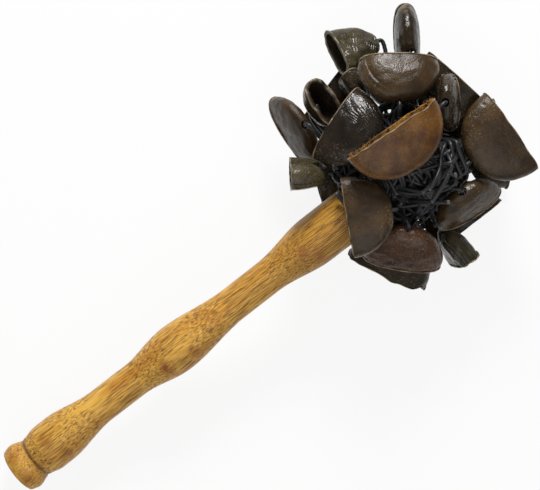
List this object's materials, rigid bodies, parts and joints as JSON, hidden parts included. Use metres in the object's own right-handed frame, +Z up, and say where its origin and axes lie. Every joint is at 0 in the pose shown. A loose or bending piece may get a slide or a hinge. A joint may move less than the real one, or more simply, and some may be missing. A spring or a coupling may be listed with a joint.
{
  "type": "stick shaker",
  "caption": "Hand shaker: a turned wooden stick with a bunch of half nut shells tied round its head by black cords, each free to swing and clack.",
  "frame": {"origin": "on the ground under the middle of the whole shaker, which lies on its butt knob and its lowest shells", "axes": "+X along the stick towards the shells, +Z up, +Y to the left of someone who looks along +X"},
  "size_m": [0.3022, 0.1332, 0.086],
  "materials": {
    "lacquered_wood": "clear gloss lacquer over straight-grained golden wood with fine dark pores",
    "nut_shell": "polished dark brown woody shell, fine pits, pale worn sawn rim",
    "pale_nut_shell": "semi-gloss reddish brown shell with a pale fibrous sawn rim",
    "black_cord": "waxed black cord with a satin sheen"
  },
  "bodies": {
    "stick": {"handle": "lacquered_wood", "lashing": "black_cord", "tie_01": "black_cord", "tie_02": "black_cord", "tie_03": "black_cord", "tie_04": "black_cord", "tie_05": "black_cord", "tie_06": "black_cord", "tie_07": "black_cord", "tie_08": "black_cord", "tie_09": "black_cord", "tie_10": "black_cord", "tie_11": "black_cord", "tie_12": "black_cord", "tie_13": "black_cord", "tie_14": "black_cord", "tie_15": "black_cord", "tie_16": "black_cord", "tie_17": "black_cord", "tie_18": "black_cord", "tie_19": "black_cord", "tie_20": "black_cord", "tie_21": "black_cord", "tie_22": "black_cord", "tie_23": "black_cord", "tie_24": "black_cord", "tie_25": "black_cord", "cut_end_1": "black_cord", "cut_end_2": "black_cord"},
    "shell_01": {"shell_01": "pale_nut_shell"},
    "shell_02": {"shell_02": "nut_shell"},
    "shell_03": {"shell_03": "nut_shell"},
    "shell_04": {"shell_04": "nut_shell"},
    "shell_05": {"shell_05": "nut_shell"},
    "shell_06": {"shell_06": "nut_shell"},
    "shell_07": {"shell_07": "nut_shell"},
    "shell_08": {"shell_08": "nut_shell"},
    "shell_09": {"shell_09": "nut_shell"},
    "shell_10": {"shell_10": "nut_shell"},
    "shell_11": {"shell_11": "nut_shell"},
    "shell_12": {"shell_12": "nut_shell"},
    "shell_13": {"shell_13": "nut_shell"},
    "shell_14": {"shell_14": "nut_shell"},
    "shell_15": {"shell_15": "nut_shell"},
    "shell_16": {"shell_16": "nut_shell"},
    "shell_17": {"shell_17": "nut_shell"},
    "shell_18": {"shell_18": "nut_shell"},
    "shell_19": {"shell_19": "nut_shell"},
    "shell_20": {"shell_20": "nut_shell"},
    "shell_21": {"shell_21": "nut_shell"},
    "shell_22": {"shell_22": "nut_shell"},
    "shell_23": {"shell_23": "nut_shell"},
    "shell_24": {"shell_24": "nut_shell"},
    "shell_25": {"shell_25": "nut_shell"}
  },
  "joints": [
    {"name": "shell_01_swing", "type": "hinge", "parent": "stick", "child": "shell_01", "pos_m": [0.09536, -0.01291, 0.07473], "axis": [-0.0042, -0.1472, 0.9891], "range_deg": [-24, 24]},
    {"name": "shell_02_swing", "type": "hinge", "parent": "stick", "child": "shell_02", "pos_m": [0.12092, -0.02664, 0.05687], "axis": [-0.0371, -0.9894, -0.1401], "range_deg": [-8, 12]},
    {"name": "shell_03_swing", "type": "hinge", "parent": "stick", "child": "shell_03", "pos_m": [0.07387, -0.02158, 0.06681], "axis": [-0.1021, 0.0616, 0.9929], "range_deg": [-16, 24]},
    {"name": "shell_04_swing", "type": "hinge", "parent": "stick", "child": "shell_04", "pos_m": [0.0747, -0.03362, 0.05905], "axis": [-0.5349, -0.5127, 0.6716], "range_deg": [-6, 24]},
    {"name": "shell_05_swing", "type": "hinge", "parent": "stick", "child": "shell_05", "pos_m": [0.11001, 0.01869, 0.063], "axis": [0.7863, -0.6172, -0.0297], "range_deg": [0, 16]},
    {"name": "shell_06_swing", "type": "hinge", "parent": "stick", "child": "shell_06", "pos_m": [0.08589, 0.00842, 0.06154], "axis": [0.9463, 0.3228, -0.0205], "range_deg": [-6, 16]},
    {"name": "shell_07_swing", "type": "hinge", "parent": "stick", "child": "shell_07", "pos_m": [0.10634, -0.03553, 0.05553], "axis": [-0.0745, -0.8934, 0.443], "range_deg": [-24, 8]},
    {"name": "shell_08_swing", "type": "hinge", "parent": "stick", "child": "shell_08", "pos_m": [0.07135, -0.03711, 0.03411], "axis": [-0.554, -0.3021, 0.7758], "range_deg": [-10, 24]},
    {"name": "shell_09_swing", "type": "hinge", "parent": "stick", "child": "shell_09", "pos_m": [0.08959, -0.04464, 0.03094], "axis": [-0.9857, -0.0082, 0.1685], "range_deg": [-4, 8]},
    {"name": "shell_10_swing", "type": "hinge", "parent": "stick", "child": "shell_10", "pos_m": [0.12547, 0.00303, 0.06466], "axis": [0.7909, -0.586, 0.1762], "range_deg": [-10, 10]},
    {"name": "shell_11_swing", "type": "hinge", "parent": "stick", "child": "shell_11", "pos_m": [0.1174, 0.00386, 0.04115], "axis": [0.0023, 0.0242, 0.9997], "range_deg": [-8, 6]},
    {"name": "shell_12_swing", "type": "hinge", "parent": "stick", "child": "shell_12", "pos_m": [0.11902, -0.01058, 0.02912], "axis": [0.128, -0.0693, 0.9894], "range_deg": [-6, 14]},
    {"name": "shell_13_swing", "type": "hinge", "parent": "stick", "child": "shell_13", "pos_m": [0.12025, -0.0277, 0.03357], "axis": [-0.0605, -0.4331, 0.8993], "range_deg": [-22, 22]},
    {"name": "shell_14_swing", "type": "hinge", "parent": "stick", "child": "shell_14", "pos_m": [0.1193, 0.04832, 0.02402], "axis": [0.181, 0.9128, -0.366], "range_deg": [-12, 12]},
    {"name": "shell_15_swing", "type": "hinge", "parent": "stick", "child": "shell_15", "pos_m": [0.12869, 0.0325, 0.04145], "axis": [0.833, -0.5533, 0.0028], "range_deg": [-20, 8]},
    {"name": "shell_16_swing", "type": "hinge", "parent": "stick", "child": "shell_16", "pos_m": [0.09713, 0.02566, 0.03908], "axis": [0.9965, -0.0665, -0.0504], "range_deg": [-16, 8]},
    {"name": "shell_17_swing", "type": "hinge", "parent": "stick", "child": "shell_17", "pos_m": [0.07546, 0.03975, 0.03077], "axis": [-0.9349, 0.077, 0.3466], "range_deg": [-4, 22]},
    {"name": "shell_18_swing", "type": "hinge", "parent": "stick", "child": "shell_18", "pos_m": [0.06719, 0.03625, 0.04489], "axis": [-0.9527, 0.0821, 0.2927], "range_deg": [-6, 6]},
    {"name": "shell_19_swing", "type": "hinge", "parent": "stick", "child": "shell_19", "pos_m": [0.06116, 0.01131, 0.04587], "axis": [0.5891, 0.7866, 0.1849], "range_deg": [-6, 24]},
    {"name": "shell_20_swing", "type": "hinge", "parent": "stick", "child": "shell_20", "pos_m": [0.07791, -0.02357, 0.00817], "axis": [-0.4833, 0.8754, 0.0044], "range_deg": [-12, 10]},
    {"name": "shell_21_swing", "type": "hinge", "parent": "stick", "child": "shell_21", "pos_m": [0.10216, -0.03032, 0.00932], "axis": [-0.0661, -0.0534, 0.9964], "range_deg": [-4, 10]},
    {"name": "shell_22_swing", "type": "hinge", "parent": "stick", "child": "shell_22", "pos_m": [0.1222, -0.01745, 0.00895], "axis": [0.0288, 0.0119, 0.9995], "range_deg": [-10, 24]},
    {"name": "shell_23_swing", "type": "hinge", "parent": "stick", "child": "shell_23", "pos_m": [0.11155, 0.01398, 0.0072], "axis": [0.0245, 0.0179, 0.9995], "range_deg": [-24, 2]},
    {"name": "shell_24_swing", "type": "hinge", "parent": "stick", "child": "shell_24", "pos_m": [0.0903, 0.02353, 0.00982], "axis": [-0.1606, -0.0418, 0.9861], "range_deg": [-2, 24]},
    {"name": "shell_25_swing", "type": "hinge", "parent": "stick", "child": "shell_25", "pos_m": [0.07537, 0.00252, 0.01479], "axis": [-0.0252, -0.0087, 0.9996], "range_deg": [-16, 8]}
  ]
}
